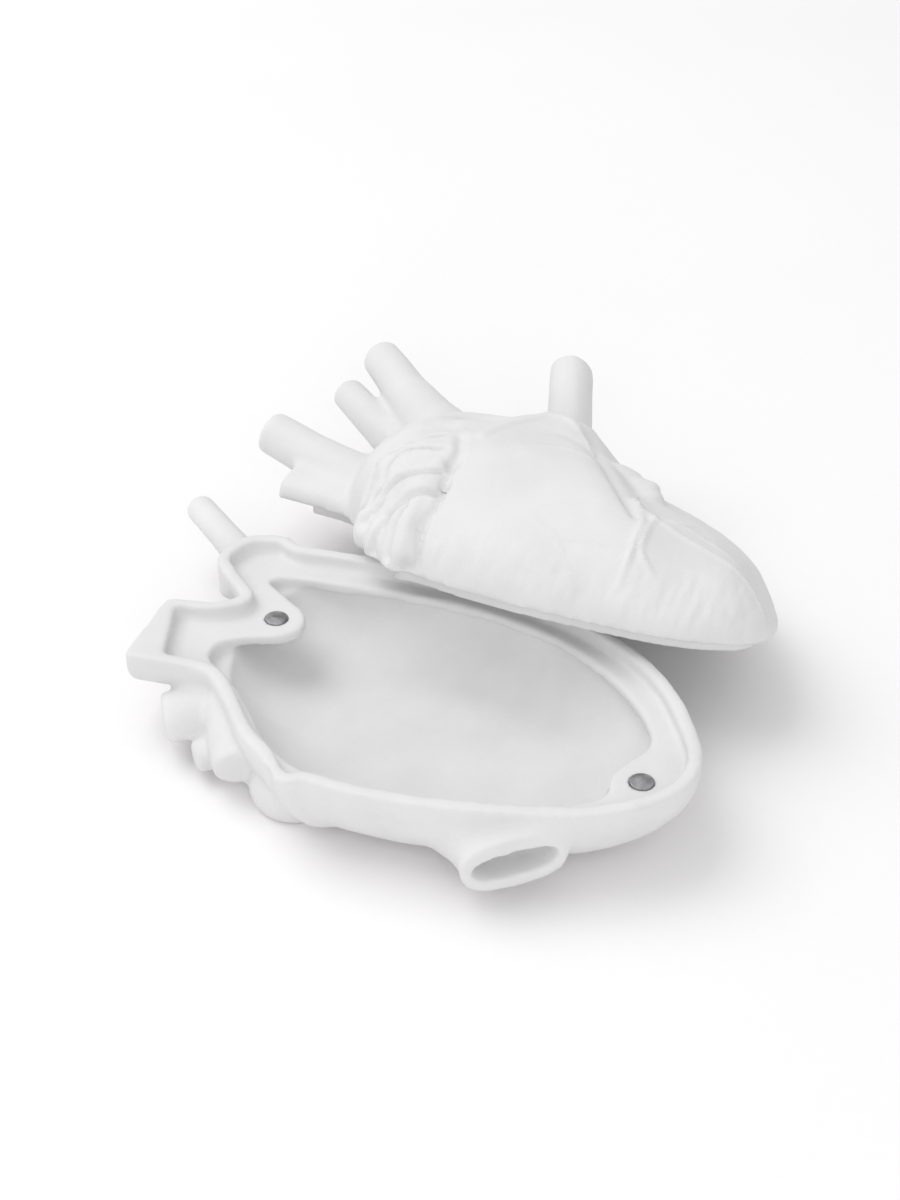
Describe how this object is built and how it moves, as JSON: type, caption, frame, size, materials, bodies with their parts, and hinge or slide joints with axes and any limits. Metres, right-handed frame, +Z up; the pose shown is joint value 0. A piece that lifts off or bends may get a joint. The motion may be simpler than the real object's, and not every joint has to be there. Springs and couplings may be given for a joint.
{
  "type": "heart-shaped trinket box",
  "caption": "White anatomical-heart trinket box: a shallow tray with lip, shelf and vessel stubs, a domed lift-off lid leaning on its rim, and disc magnet closures.",
  "frame": {"origin": "middle of the tray's flat foot, on the table", "axes": "+X along the tray towards the heart's apex, +Y towards the back where the lid leans, +Z up"},
  "size_m": [0.1769, 0.2111, 0.0588],
  "materials": {
    "bisque": "matte unglazed white, very fine grain",
    "magnet": "scuffed nickel plate"
  },
  "bodies": {
    "tray": {"base_shell": "bisque", "base_magnet_left": "magnet", "base_magnet_right": "magnet"},
    "lid": {"lid_shell": "bisque", "lid_magnet_left": "magnet", "lid_magnet_right": "magnet"}
  },
  "joints": [
    {"name": "lid_lift", "type": "slide", "parent": "tray", "child": "lid", "axis": [0, 0, 1], "range_m": [0, 0.06]}
  ]
}
